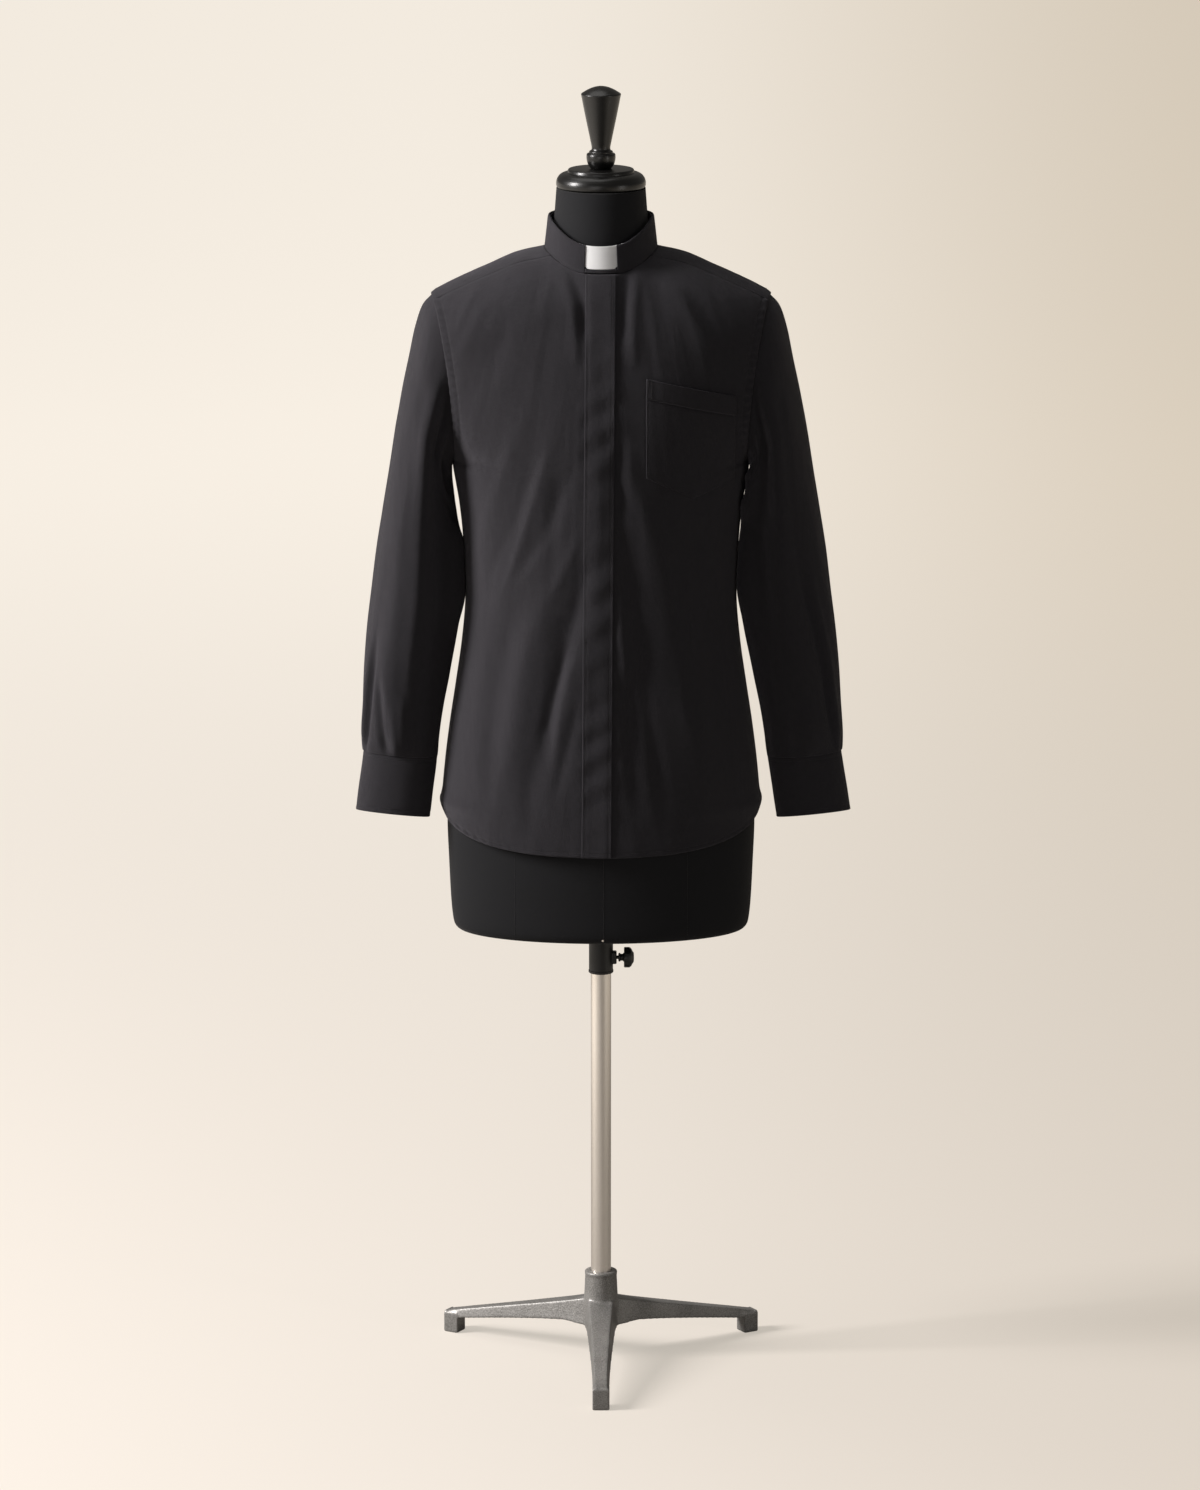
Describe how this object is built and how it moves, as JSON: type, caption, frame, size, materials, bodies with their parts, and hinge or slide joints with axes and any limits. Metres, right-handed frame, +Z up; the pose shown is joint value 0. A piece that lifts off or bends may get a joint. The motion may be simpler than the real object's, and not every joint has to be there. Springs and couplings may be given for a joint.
{
  "type": "clergy shirt on a dress form",
  "caption": "Long-sleeved black clergy shirt with a tab collar, fly placket and chest pocket, worn by a limbless dress form on a height-adjustable three-legged stand.",
  "frame": {"origin": "on the floor, under the middle of the object's bounding box", "axes": "+Z up along the pole, -Y the way the wearer faces, +X the wearer's left"},
  "size_m": [0.6028, 0.3442, 1.5962],
  "materials": {
    "shirting": "black poly-cotton, plain weave, pressed",
    "jersey": "black stretched jersey",
    "lacquer": "black lacquered turned wood",
    "tab_white": "smooth white plastic, satin gloss",
    "black_plastic": "black moulded plastic",
    "casting": "grey hammered coat on a casting",
    "steel": "satin brushed tube",
    "button": "black four-hole button"
  },
  "bodies": {
    "stand_base": {"base": "casting"},
    "stand_pole": {"pole": "steel"},
    "dressed_form": {"form": "jersey", "neck_cap": "lacquer", "finial": "lacquer", "socket": "black_plastic", "front_right": "shirting", "front_left": "shirting", "back": "shirting", "yoke": "shirting", "placket": "shirting", "pocket": "shirting", "sleeve_right": "shirting", "sleeve_left": "shirting", "sleeve_placket_right": "shirting", "sleeve_placket_left": "shirting", "cuff_right": "shirting", "cuff_left": "shirting", "cuff_button_right": "button", "cuff_button_left": "button", "collar_band": "shirting", "collar_outer": "shirting", "collar_strip": "shirting", "collar_tab": "tab_white"},
    "clamp": {"clamp_screw": "black_plastic"}
  },
  "joints": [
    {"name": "form_turn", "type": "hinge", "parent": "stand_base", "child": "stand_pole", "pos_m": [0, 0.051, 0.1], "axis": [0, 0, 1], "continuous": true},
    {"name": "form_height", "type": "slide", "parent": "stand_pole", "child": "dressed_form", "axis": [0, 0, 1], "range_m": [-0.25, 0.15]},
    {"name": "clamp_turn", "type": "hinge", "parent": "dressed_form", "child": "clamp", "pos_m": [0.03, 0.051, 0.5145], "axis": [1, 0, 0], "range_deg": [0, 540]}
  ]
}
